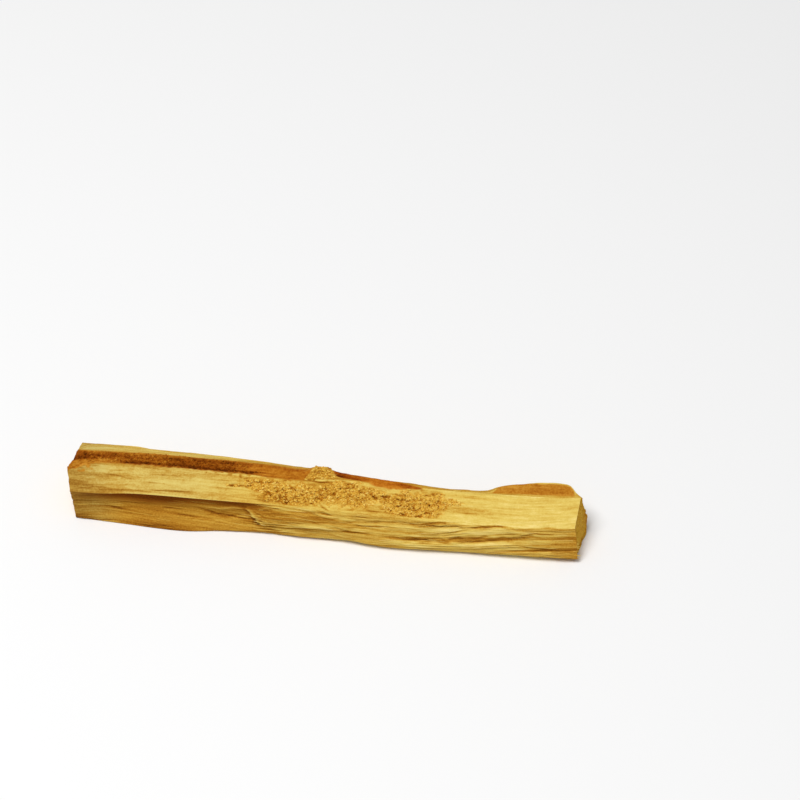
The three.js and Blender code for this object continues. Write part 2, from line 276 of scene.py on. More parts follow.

# Furrows, cracks and ridges. Each has the points (x, place) it runs through, half its width, its depth,
# which is below zero for a ridge, and how much darker the wood is in it: painted shade and dust in a
# furrow, and below zero, a painted highlight on a ridge.
FURROWS = [
    # In the hollow and round the standing layer.
    ([(-32, 2.72), (-14, 2.86)], 0.4, 0.15, 0.14),
    ([(-26.5, 2.15), (-22.3, 1.93), (-17.3, 1.88), (-13.8, 1.94)], 0.5, 0.34, 0.3),
    ([(-26, 2.2), (-22.1, 2.3), (-12.5, 2.46)], 0.34, -0.35, -0.26),
    ([(-13.6, 2.5), (-10.6, 2.18)], 0.25, 0.2, 0.26),
    ([(-12.2, 1.42), (-9.6, 1.3), (-5.4, 1.26), (0, 1.3)], 0.4, -0.14, -0.16),
    ([(-14.4, 2.42), (-11.4, 2.68), (-9, 2.86), (-4, 2.84)], 0.24, -0.12, -0.16),
    ([(-48.8, 1.84), (-34, 1.84)], 0.3, 0.12, 0.12),
    # The middle of the front.
    ([(-10, 2.74), (-4.5, 2.72), (4.3, 2.5), (7.2, 2.54), (11, 2.7), (17.1, 2.88)], 0.5, 0.24, 0.12),
    ([(-5, 2.36), (1, 2.36), (5.3, 2.36), (12.6, 2.38)], 0.36, 0.16, 0.16),
    ([(9.3, 1.72), (16, 1.86), (23.8, 2.08)], 0.4, 0.2, 0.2),
    ([(0, 1.98), (4.2, 1.94), (11.2, 1.98)], 0.3, 0.2, 0.26),
    ([(10, 2.4), (22.7, 2.58)], 0.45, -0.2, -0.12),
    ([(-8, 1.98), (3, 1.95)], 0.45, -0.2, -0.1),
    ([(-2.2, 2.86), (3.4, 2.8)], 0.2, 0.13, 0.2),
    # Cracks that run up to the front arris and along it.
    ([(12, 2.84), (18, 2.7), (25, 2.88)], 0.35, 0.22, 0.26),
    ([(15, 2.82), (20, 2.92), (24.6, 2.98), (29, 3.06)], 0.36, 0.22, 0.3),
    ([(17, 2.72), (22.5, 2.72), (26.5, 2.8), (30.5, 2.94), (34.2, 3.03), (40.5, 3.03)], 0.34, 0.28, 0.36),
    ([(27, 3), (35, 3.03), (43, 3.02), (52, 2.98)], 0.45, 0.16, 0.5),
    ([(34, 2.5), (38, 2.58), (41.8, 2.7), (48.5, 2.72)], 0.22, 0.14, 0.22),
    # The wide groove along the right half of the front, a ridge on each side of it, and two small furrows.
    ([(13, 1.84), (18.9, 1.94), (25, 2.1), (32, 2.3), (38, 2.46), (43.5, 2.48)], 0.8, 0.34, 0.42),
    ([(34, 1.8), (40, 1.76), (46, 1.8)], 0.4, 0.12, 0.14),
    ([(15, 2.54), (24.6, 2.57), (29.4, 2.67), (34.1, 2.78), (42, 2.84)], 0.55, -0.16, -0.38),
    ([(9.4, 1.48), (17, 1.46), (24.8, 1.6), (29.6, 1.8), (34.4, 1.97), (42, 2.08)], 0.55, -0.16, -0.38),
    ([(32.5, 1.52), (36.7, 1.47), (48, 1.5)], 0.5, 0.14, 0.14),
    # Thin cracks in the broad top.
    ([(-45.5, 3.7), (-40.1, 3.6), (-34, 3.45)], 0.15, 0.12, 0.14),
    ([(-50.4, 3.1), (-44.4, 3.21), (-39.5, 3.18)], 0.2, 0.14, 0.28),
    ([(-36.2, 3.14), (-30, 3.2), (-23.6, 3.22)], 0.15, 0.18, 0.36),
    ([(-20.2, 3.56), (-17.3, 3.52), (-14.6, 3.6)], 0.15, 0.18, 0.4),
    ([(7.3, 3.13), (12.8, 3.14)], 0.15, 0.1, 0.2),
    ([(4, 3.12), (8.5, 3.16), (13.5, 3.16)], 0.8, 0.04, 0.12),
    ([(22, 3.5), (38, 3.52)], 0.15, 0.04, 0.08),
    # Chips out of the front arris in the middle, and the painted shadow line at the foot of the broken
    # lump.
    ([(-1.2, 3.25), (0.2, 3.1), (1.5, 3)], 0.3, 0.22, 0.4),
    ([(-1.8, 2.94), (0.3, 2.89), (2.2, 2.81)], 0.3, 0.2, 0.34),
    ([(-8.5, 3.98), (-2.2, 3.96), (3.4, 3.91), (9, 3.84)], 0.3, 0.22, 0.44),
    # The back.
    ([(-50, 6.45), (-36, 6.35), (-19, 6.6)], 0.6, 0.5, 0.3),
    ([(-34, 6.95), (-14, 6.8), (10, 6.7)], 0.5, 0.5, 0.32),
    ([(-10, 7.35), (10, 7.2), (34, 7.3)], 0.6, 0.45, 0.28),
    ([(12, 6.5), (30, 6.55), (50, 6.75)], 0.55, 0.5, 0.32),
    ([(-48, 7.4), (-30, 7.3), (-10, 7.45)], 0.4, 0.3, 0.28),
    ([(22, 7), (48, 7.15)], 0.35, 0.3, 0.28),
    ([(-44, 6.72), (-24, 6.85)], 0.6, -0.3, -0.14),
    ([(-10, 6.4), (14, 6.3)], 0.7, -0.3, -0.12),
    ([(18, 6.95), (40, 6.85)], 0.5, -0.25, -0.12),
]
FADE, LONGEST_FADE = 0.42, 8.0  # share of its length, and most millimetres, that it fades over
WANDER, RAGGEDNESS = 0.16, 0.4  # how far it strays in millimetres, and how rough its edges are
STEEPER = 0.45  # a furrow's upper side is this much of the width of its lower
ragged, uneven = grain(71, 1.5, 0.5, spot), grain(72, 4.5, 1.5, spot)
for number, (path, half, depth, shade) in enumerate(FURROWS):
    start, end = path[0][0], path[-1][0]
    wander = min(WANDER, 0.5 * half) * (np.sin(0.6 * x + number) + 0.5 * np.sin(1.37 * x + 2 * number))
    offset = arc - round_to(line_at(path, middle_x)[:, None]) + wander + RAGGEDNESS * half * ragged
    ends = stretch(x, start, end, min(FADE * (end - start), LONGEST_FADE))
    width = half * (0.35 + 0.65 * ends)
    upper_width = width * (STEEPER if depth > 0 else 1.0)
    profile = np.where(offset > 0, bell(offset, upper_width), bell(offset, width))
    furrow = ends * profile * (0.85 + 0.3 * uneven)
    relief -= depth * furrow
    # painted shade in each furrow and crack, and a painted highlight on each ridge
    dark += shade * furrow

# A layer of the front left standing where the split jumped: its left edge slants down to its lower one.
LEDGE_LEFT = [(1.5, -12.2), (1.76, -13.1), (2.12, -14.2), (2.5, -15.2)]  # place, x
LEDGE_FOOT = [(-12.2, 1.5), (-6.3, 1.67), (-0.5, 1.79), (6.0, 1.86)]  # x, place
LEDGE_HEIGHT = 0.44
from_left = x - line_at(LEDGE_LEFT, place) + 0.3 * grain(61, 1.4, 0.4, spot)
from_foot = arc - round_to(line_at(LEDGE_FOOT, middle_x)[:, None]) + 0.14 * grain(62, 2.5, 0.8, spot)
ledge_fade = fading(place, 2.25, 2.85) * fading(x, -5, 5) * front
ledge = smooth(from_left, 0, 0.35) * smooth(from_foot, 0, 0.22) * ledge_fade
relief += LEDGE_HEIGHT * ledge
dark += shaded_by([
    (0.14, stretch(x, -13, 6, 4) * ledge_fade),
    (-0.3, ledge * np.maximum(fading(from_left, 0.3, 1.5), fading(from_foot, 0.5, 1.6))),  # its rim, a painted highlight
    (0.3, bell(from_left + 0.4, 0.5) * smooth(from_foot, -0.6, 0) * ledge_fade),  # painted shade left of it
    (0.05, bell(from_foot + 0.25, 0.26) * smooth(from_left, -1, 0.5) * ledge_fade),  # and painted shadow below it
])

# Hairline cracks along the fibres, at random places, closing towards both ends, painted darker inside as
# shade and dust.
HAIRLINES = 230
CRACKED = [((1, 3), 0.42), ((3, 4), 0.17), ((6, 8), 0.34), ((5, 6), 0.07)]  # places, and their share
HAIR_ROUND = 0.6  # how much of a face it may stray over, round the section
hair_depth = np.where(top, 0.1, 0.14)
hair_shade = np.where(top, 0.16 - 0.04 * right_side, 0.2)
calm = 1 - 0.3 * front * stretch(x, -12, 18, 6)  # the middle of the front is less torn
rng = np.random.default_rng(11)


def column_at(at):
    """The column of points nearest to a place round the section."""
    return int(np.argmin(abs(place[0] - at)))


for _ in range(HAIRLINES):
    row = rng.integers(8, STATIONS - 8)
    at = rng.choice([rng.uniform(*places) for places, _ in CRACKED], p=[share for _, share in CRACKED])
    column = column_at(at)
    half_length, half, strength = rng.uniform(1.2, 6.5), rng.uniform(0.07, 0.17), rng.uniform(0.3, 1)
    closing = np.clip(1 - ((x - x[row, column]) / half_length) ** 2, 0, 1)
    off_line = fibre[..., 1] - fibre[row, column, 1]
    hair = strength * closing * bell(off_line, half) * (abs(place - at) < HAIR_ROUND)
    relief -= hair_depth * hair
    dark += hair_shade * hair * calm

# The torn grain: long ropes, layers that have lifted off, and fine fibres, strongest on the split sides.
ROPE_HEIGHT, LAYER_HEIGHT, FIBRE_HEIGHT = 0.1, 0.1, 0.055
torn = np.select([front, top, narrow_top, back], [1.0, 0.6, 0.6, 1.15], 0.3)
torn = torn * np.where(top, 1 + 0.5 * right_side, 1) * (1 - 0.58 * front * fading(x, -20, -10))
torn = torn * (1 - 0.6 * hollow_run * smooth(place, 1.9, 2.5)) * calm
sides = torn * (place < UNDERSIDE)
ropes = grain(11, 22, 1.5, fibre) + 0.5 * grain(12, 12, 0.7, fibre)
layers = smooth(grain(13, 24, 1.2, fibre), 0.04, 0.12) - smooth(grain(14, 18, 1.0, fibre), 0.2, 0.27)
fibres = grain(15, 9, 0.42, fibre) + 0.7 * grain(16, 5, 0.27, fibre)
relief += sides * (ROPE_HEIGHT * ropes + LAYER_HEIGHT * layers + FIBRE_HEIGHT * fibres)
streaks = grain(17, 26, 1.1, fibre) + 0.8 * grain(18, 14, 0.55, fibre) + 0.8 * grain(19, 7, 0.3, fibre)
mottle = grain(20, 4, 1.3, spot) + 0.7 * grain(27, 1.3, 0.7, spot)
# Raised ropes are painted a little paler, a painted highlight.
dark += torn * (0.12 * streaks - 0.04 * ropes) + np.where(top, 0.045, 0.02) * mottle

# The torn, crumbly patch on the broad face: clusters of broken fibre ends, with pits between them.
# Clusters, holes and shelves are rows of x, place, and how far they reach in each.
CLUSTERS = [
    (-7, 3.43, 6.1, 0.45), (-12.8, 3.66, 3.6, 0.2), (3, 3.5, 5.2, 0.47), (17.6, 3.46, 6.1, 0.44),
    (24.2, 3.63, 2.8, 0.1), (-17.5, 3.57, 1.8, 0.05), (10.4, 3.6, 3.2, 0.2), (20.8, 3.64, 3, 0.27),
    (-2.4, 3.36, 2.6, 0.32),
]
HOLES = [(-4.2, 3.26, 3, 0.14), (6.6, 3.35, 0.9, 0.14), (10.3, 3.58, 1.6, 0.1), (16.2, 3.33, 2.6, 0.12)]
SHELVES = [(0.6, 3.2, 1.1, 0.12), (3.6, 3.22, 1.8, 0.12), (9.8, 3.3, 1.4, 0.12), (12.6, 3.72, 1.2, 0.1)]


def away(middle, at, along, across):
    """How far each point is from a spot on the skin, counted in the spot's own reaches."""
    return np.hypot((x - middle) / along, (place - at) / across)


crumb = np.full_like(x, -1.0)
for cluster in CLUSTERS:
    crumb = np.maximum(crumb, 1.25 - away(*cluster))
crumb = smooth(crumb + 0.3 * grain(3, 2.2, 1.1, spot) + 0.25 * grain(4, 0.8, 0.5, spot), 0.02, 0.75)
crumb *= smooth(place, BROAD_TOP + 0.02, BROAD_TOP + 0.12) * fading(place, 3.93, 4.0)
deep = sum(bell(away(*hole), 1) for hole in HOLES)  # where the patch is torn deepest
pale = sum(bell(away(*shelf), 1) for shelf in SHELVES)  # and where sound wood is left in it
crumb *= 1 - 0.55 * np.minimum(pale, 1)
golden = smooth(bell(x - 5, 25) * bell(place - 3.4, 0.66) + 0.15 * grain(5, 5, 1.5, spot), 0.25, 0.75) * top
lumps = grain(21, 0.85, 0.55, spot) + 0.8 * grain(22, 0.5, 0.36, spot) + 0.5 * grain(23, 2.2, 1.1, spot)
LUMP_HEIGHT, PATCH_DEPTH, HOLE_DEPTH = 0.19, 0.2, 0.1
relief += crumb * (LUMP_HEIGHT * lumps - PATCH_DEPTH - HOLE_DEPTH * deep)
# The lumps are painted paler, as painted light, and the deep holes darker, as painted shade.
dark += crumb * (0.2 - 0.1 * lumps + 0.14 * deep) + 0.12 * golden - 0.1 * pale

# Pits in the torn patch, listed and scattered, each painted darker inside as shade.
PITS = [  # x, place
    (-1.8, 3.5), (-1.1, 3.48), (-2.0, 3.32), (-1.3, 3.33), (6.4, 3.17), (6.8, 3.43), (6.1, 3.56),
    (10.6, 3.55), (12.2, 3.52), (4.9, 3.74), (-4.0, 3.3), (17.5, 3.62),
]
SCATTERED_PITS = 150
PIT_DEPTH, PIT_SHADE = 0.24, 0.13
for middle, at in PITS + [(rng.uniform(-13, 24), rng.uniform(3.1, 3.9)) for _ in range(SCATTERED_PITS)]:
    row = int(np.argmin(abs(middle_x - middle)))
    across = arc - round_to(np.full((STATIONS + 1, 1), at))
    pit = crumb[row, column_at(at)] * bell(np.hypot(x - middle, across), rng.uniform(0.14, 0.26))
    relief -= PIT_DEPTH * pit
    dark += PIT_SHADE * pit

# Bark and stained sapwood along the channel. At the left the bark is a dark vein sunk between the two top
# faces, then come a smooth orange-brown stretch, a pale broken lump, a thin red strip and a flake.
CHANNEL_DEPTH = 0.36
BARK_HEAD = [(-50, 1), (-38, 0.96), (-20, 0.9), (-4, 0.86)]  # x, and how far across it the bark reaches
channel_place = place - CHANNEL + 0.014 * grain(31, 2.3, 0.7, spot) + 0.014 * grain(32, 0.5, 0.4, spot)
bark_head = line_at(BARK_HEAD, x)
bark_foot = -0.1 * fading(x, -48.5, -45.5)
in_channel = (smooth(channel_place, bark_foot - 0.06, bark_foot)
              * fading(channel_place, bark_head, bark_head + 0.24))
lump_left = -4.5 + 1.7 * np.clip(channel_place, 0, 1)
lump_right = 2.0 - 1.3 * np.clip(channel_place, 0, 1)
chestnut = in_channel * fading(x + 2.4 * grain(33, 3.5, 0.35, spot), -17, -13)
brown = in_channel * fading(x, lump_left - 0.15, lump_left + 0.1) * (1 - chestnut)

STRIP_FOOT = [  # x, and how far across the channel the red strip begins
    (1.4, 0.45), (2.6, 0.26), (4.3, 0.14), (7.2, -0.02), (9.6, -0.14), (12.3, -0.16), (18.4, -0.08),
]
STRIP_HEAD = [(1.4, 1.4), (9, 1.4), (13.5, 0.9), (18.6, 0)]  # x, and where it ends
above_foot = channel_place - line_at(STRIP_FOOT, x)
below_head = line_at(STRIP_HEAD, x) - channel_place
strip = smooth(above_foot, 0, 0.05) * smooth(below_head, 0, 0.1) * stretch(x, lump_right, 18.8, 0.4)

flake_left = 31.6 + 1.2 * np.clip(channel_place, 0, 1.4)
flake_right = 47.9 - 1.2 * np.abs(channel_place - 0.45) ** 2
flake_head = 1.35 - 0.47 * smooth(x, 36, 42)
flake = (smooth(channel_place, 0.08, 0.14) * fading(channel_place, flake_head, flake_head + 0.06)
         * smooth(x, flake_left, flake_left + 0.3) * fading(x, flake_right - 0.3, flake_right))
flake_rim = (smooth(channel_place, 0.06, 0.12) * fading(channel_place, 1.2, 1.4)
             * stretch(x, 36.5, 48.6, 1.5) * (1 - flake))

rust_specks = grain(34, 0.8, 0.4, spot) + 1.3 * bell(x + 48.2, 2.0) * bell(channel_place + 0.08, 0.12)
stain = smooth(rust_specks, 0.55, 0.8) * (x < -44) * (place > 3.7) * (place < 4.1)
# The bark mask also carries the hollow's painted shade.
bark_and_hollow_shade = np.clip(chestnut + brown + strip + flake + 0.8 * stain + hollow_shade, 0, 1)

# The ember is the colour of what is barky and of the hollow's painted shade, from 0 for the blackest
# bark to 1 for the orange of the flake.
granules = grain(24, 0.6, 0.42, spot) + 0.9 * grain(25, 0.34, 0.27, spot) + 0.5 * grain(26, 2.5, 0.9, spot)
bands = grain(37, 5.0, 0.42, spot) + 0.5 * grain(38, 2.0, 0.3, spot)
ember_of_chestnut = 0.44 + 0.13 * granules + 0.1 * bands + shaded_by([
    (0.3, fading(x, -44, -38) * fading(channel_place, 0.34, 0.5)),  # orange at the front of its left end
    (0.09, bell(x + 35, 8)),
    (-0.34, bell(channel_place - 0.18, 0.16) * smooth(x, -42, -39)),  # blackest along its front edge
    (-0.12, bell(channel_place - 0.72, 0.16) * fading(x, -44, -34)),
    (0.2, smooth(channel_place, 0.85, 1.1)),  # and paler where it thins out
])
ember_of_brown = 0.73 + 0.08 * bands + 0.09 * granules - 0.12 * smooth(channel_place, 0.7, 0.9)
still_bark = chestnut / np.maximum(chestnut + brown, 0.001)
ember = ember_of_chestnut * still_bark + ember_of_brown * (1 - still_bark)
ember = np.where(strip > 0.05, 0.66 + 0.22 * bands + 0.1 * granules - 0.26 * bell(x - 2.2, 2.0), ember)
ember = np.where(flake > 0.05, 0.8 + 0.1 * streaks + 0.08 * granules, ember)
ember = np.where(stain > 0.05, 0.78 + 0.2 * granules, ember)
# On the front, the ember is the warm brown of the hollow's painted shade.
ember_of_hollow_shade = 0.5 - 0.22 * smooth(place, hollow_shade_foot + 0.1, hollow_shade_foot + 0.8) + 0.04 * streaks
ember = np.where(front, ember_of_hollow_shade, ember)

# The bark's relief: the channel is sunk, the bark in it is rough, the flake stands up in a rim of pale
# wood, and the lump between the bark and the strip is all broken ends.
channel_run = stretch(x, -53, -3.2, 1.4)
relief -= CHANNEL_DEPTH * smooth(place, CHANNEL, CHANNEL + 0.13) * fading(place, 4.75, 5.0) * channel_run
relief += chestnut * (0.1 * granules + 0.05) + strip * (0.05 + 0.05 * granules) + 0.03 * flake * streaks
relief += 0.12 * flake_rim - 0.15 * bell(channel_place - 0.03, 0.05) * (flake_rim + flake > 0.3)
broken = stretch(x, lump_left, lump_right, 0.5) * stretch(channel_place, -0.02, 1.5, 0.1)
relief += broken * (0.04 + 0.14 * lumps + 0.05 * granules)
# A broken painted shadow along the lower edge of the vein's right end.
vein_edge_shadow = smooth(grain(35, 0.6, 0.35, spot), 0.4, 0.7) * bell(place - 3.93, 0.07)
dark += broken * (0.1 - 0.07 * lumps) + 0.045 * top * granules + shaded_by([
    (-0.1, flake_rim),
    (-0.05, bell(place - BROAD_TOP - 0.04, 0.06) * right_side),  # the front arris catches the light
    (0.3, vein_edge_shadow * stretch(x, -26, -12, 3)),
])

# Between the strip and the flake the channel's far edge is nicked where fibres have broken away, and the
# sawn underside keeps the saw's marks. Last, dents are painted a little darker than what stands up round
# them, as painted shade and dust, and what stands up a little paler, as a painted highlight.
NICK_DEPTH = 0.28
nicks = smooth(grain(36, 2.6, 0.9, spot), 0.0, 0.5) * bell(place - NARROW_TOP, 0.3) * stretch(x, 17, 34, 2)
relief -= NICK_DEPTH * nicks
relief *= (place > 0) & (place < UNDERSIDE)
SAW_PITCH, SAW_SLANT, SAW_DEPTH, SAW_SHADE = 0.62, 0.35, 0.035, 0.06
saw_marks = 0.5 + 0.5 * np.sin(2 * np.pi * (x + SAW_SLANT * skin[..., 1]) / SAW_PITCH)
dark += underside * SAW_SHADE * (saw_marks - 0.5)
DENT_ROUNDS = 6  # rounds of evening that give the level a dent is judged from
DENT_PAINTED_SHADE, MOST_PALER, MOST_DARKER = 1.6, -0.14, 0.22
dent = evened(relief, DENT_ROUNDS) - relief
dark += np.where(front | back, 1, 0.5) * calm * np.clip(DENT_PAINTED_SHADE * dent, MOST_PALER, MOST_DARKER)
DARKEST = 0.62  # past this the wood darkens only half as much
dark = np.where(dark > DARKEST, DARKEST + 0.5 * (dark - DARKEST), dark)

# Weathered wood, greyer than fresh: the left end of the front, and the left half of the top faces.
weathered = np.where(front, fading(x, -46, -38), 1 - 0.5 * smooth(x, -47, -40) - 0.5 * smooth(x, -28, -12))
weathered = weathered * (place < BACK) * (1 - np.clip(chestnut + brown + stain, 0, 1))

skin = skin + outward * relief[..., None]
skin[..., 2] = np.where(underside, underside * SAW_DEPTH * saw_marks, np.maximum(skin[..., 2], 0.0))

# The cut ends: the section drawn in ring by ring to its middle, with the broken ends of fibre bundles.
CAP_RINGS = 14
SAWN_RIM = 2  # rings at the edge of the cut that are made browner


def cut_end(ring, facing, seed):
    """Rings from the edge of a sawn end to its middle, rough where the saw tore the fibres, and how dark
    each point is: browner in soft patches and along the sawn edge."""
    middle = ring.mean(axis=0)
    steps = (np.arange(1, CAP_RINGS) / CAP_RINGS)[:, None, None]
    cap = ring[None] * (1 - steps) + middle * steps
    tear = grain(seed, 1.0, 0.9, cap) + 0.7 * grain(seed + 1, 1.0, 0.4, cap)
    tear = tear + 0.5 * grain(seed + 2, 1.0, 0.2, cap)
    cap[..., 0] -= facing * (0.15 + 0.13 * tear) * np.minimum(1, 5 * steps[..., 0])
    shade = 0.34 + 0.08 * grain(seed + 3, 9, 2.6, cap) - 0.07 * tear
    return cap, middle, shade + 0.14 * (steps[..., 0] <= SAWN_RIM / CAP_RINGS)


RIM = 1.6  # how far from a cut its edge is frayed
CUTS = [(0, -1, 41, 0.1), (-1, 1, 51, 0.26)]  # station, which way it faces, seed, and depth of the fraying
caps = []
for end, facing, seed, depth in CUTS:
    frayed = depth * (np.maximum(grain(seed + 4, 1, 0.9, skin[end]), 0)
                      + 0.7 * np.maximum(grain(seed + 5, 1, 0.35, skin[end]), 0))
    skin[..., 0] -= facing * frayed * smooth(facing * (x - x[end].mean()), -RIM, 0)
    caps.append(cut_end(skin[end], facing, seed))
(left_cap, left_middle, left_shade), (right_cap, right_middle, right_shade) = caps
rings = np.concatenate([left_cap[::-1], skin, right_cap])
low, high = (np.array(corner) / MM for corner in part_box("stick"))
EASE = 0.15


def kept_inside(points):
    """The points, with those that come within EASE of the solid's box eased back by a tanh so that none
    passes it, and none below the floor."""
    points = np.minimum(points, high - EASE) + EASE * np.tanh(np.maximum(points - high + EASE, 0) / EASE)
    inner = low + EASE
    inner[2] = 0.0
    eased = np.minimum(points - inner, 0)
    eased[:, :2] = EASE * np.tanh(eased[:, :2] / EASE)
    eased[:, 2] = 0.0
    return np.maximum(points, inner) + eased


points = kept_inside(np.concatenate([rings.reshape(-1, 3), [left_middle, right_middle]]))

row, column = np.meshgrid(np.arange(len(rings) - 1), np.arange(ROUND), indexing="ij")
following = (column + 1) % ROUND
quads = np.stack([row * ROUND + column, (row + 1) * ROUND + column, (row + 1) * ROUND + following,
                  row * ROUND + following], axis=-1).reshape(-1, 4)
around = np.arange(ROUND)
onward = (around + 1) % ROUND
last_ring = (len(rings) - 1) * ROUND
left_fan = np.stack([np.full(ROUND, len(points) - 2), around, onward], axis=-1)
right_fan = np.stack([np.full(ROUND, len(points) - 1), last_ring + onward, last_ring + around], axis=-1)


def placed(name, data):
    """A new object in the scene, made of a mesh, a lamp or a camera."""
    thing = bpy.data.objects.new(name, data)
    bpy.context.collection.objects.link(thing)
    return thing


def piece_of(name, points_mm, faces):
    """A new piece of the given mesh, riding on the stick's body."""
    mesh = bpy.data.meshes.new(name)
    mesh.from_pydata((points_mm * MM).tolist(), [], faces)
    piece = placed(name, mesh)
    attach(piece, "root")
    return piece


stick = piece_of("stick_wood", points, quads.tolist() + left_fan.tolist() + right_fan.tolist())
stick.data.shade_smooth()
stick.data.set_sharp_from_angle(angle=np.radians(50))
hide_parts("stick")


def paint(piece, name, values, domain="POINT"):
    """Stores a number, or a row of three, for each point or corner of a mesh, for its material to read."""
    kind, field = ("FLOAT", "value") if values.ndim == 1 else ("FLOAT_VECTOR", "vector")
    layer = piece.data.attributes.new(name, kind, domain)
    layer.data.foreach_set(field, values.astype(np.float32).ravel())


def over_caps(values, at_left, at_right):
    """Values for every point: those of the left cut end, of the long skin, of the right cut end and the
    two middles."""
    left, right = (np.broadcast_to(cap, (CAP_RINGS - 1, ROUND)).ravel() for cap in (at_left, at_right))
    return np.concatenate([left, values.ravel(), right, left[:1], right[-1:]])


PAINTED = [  # name, its values on the long skin, and on the two cut ends
    ("dark", dark, left_shade[::-1], right_shade),
    ("bark_and_hollow_shade", bark_and_hollow_shade, 0, 0),
    ("ember", ember, 0, 0),
    ("rust", np.clip(strip + 0.3 * brown, 0, 1), 0, 0),
    ("weathered", weathered, 0, 0),
    ("crumb", crumb, 0, 0),
    ("torn", torn, 0.6, 0.6),
    ("cut", np.zeros_like(x), 1, 1),
]
for name, values, at_left, at_right in PAINTED:
    paint(stick, name, over_caps(values, at_left, at_right))

# Fibre coordinates are stored for the corners of faces, so that they don't run together where one side ends
# and the next starts. On the cut ends they are the plain position.
between_caps = slice(CAP_RINGS - 1, -(CAP_RINGS - 1))
row, column = row[between_caps] - (CAP_RINGS - 1), column[between_caps]
corner_row = np.stack([row, row + 1, row + 1, row], axis=-1)
corner_column = np.stack([column, column, column + 1, column + 1], axis=-1)
round_arc = np.concatenate([arc, reached[-1][:, None]], axis=1)
round_x = np.concatenate([x, x[:, :1]], axis=1)
corner_side = np.broadcast_to(side[row, column][..., None], corner_row.shape)
corner_fibre = along_fibres(corner_side, round_x[corner_row, corner_column],
                            round_arc[corner_row, corner_column], corner_row)
cap_faces = (CAP_RINGS - 1) * ROUND
on_corners = [points[quads[:cap_faces]], corner_fibre, points[quads[-cap_faces:]], points[left_fan],
              points[right_fan]]
paint(stick, "fibre", np.concatenate([part.reshape(-1, 3) for part in on_corners]), "CORNER")

WOOD = [  # darkness, and the wood's colour there, from torn pale fibres to the painted shade of a crack's bottom
    (0.0, (0.9, 0.7, 0.23)), (0.2, (0.78, 0.575, 0.13)), (0.36, (0.71, 0.48, 0.092)),
    (0.52, (0.58, 0.31, 0.037)), (0.68, (0.4, 0.165, 0.012)), (0.84, (0.2, 0.063, 0.004)),
    (1.0, (0.06, 0.015, 0.002)),
]
BARK = [  # ember, and its colour, from the blackest bark to the orange flake, and of the hollow's painted shade
    (0.0, (0.04, 0.007, 0.001)), (0.25, (0.16, 0.033, 0.001)), (0.5, (0.31, 0.082, 0.004)),
    (0.75, (0.47, 0.175, 0.012)), (1.0, (0.62, 0.29, 0.035)),
]
WARMER_CRUMB = (1.0, 0.86, 0.6)  # what the colour there is multiplied by
GOLDEN_CUT = (1.0, 0.82, 0.36)
REDDER_BARK = (1.0, 0.8, 0.6)
GREYER_WOOD = (0.87, 0.99, 1.5)


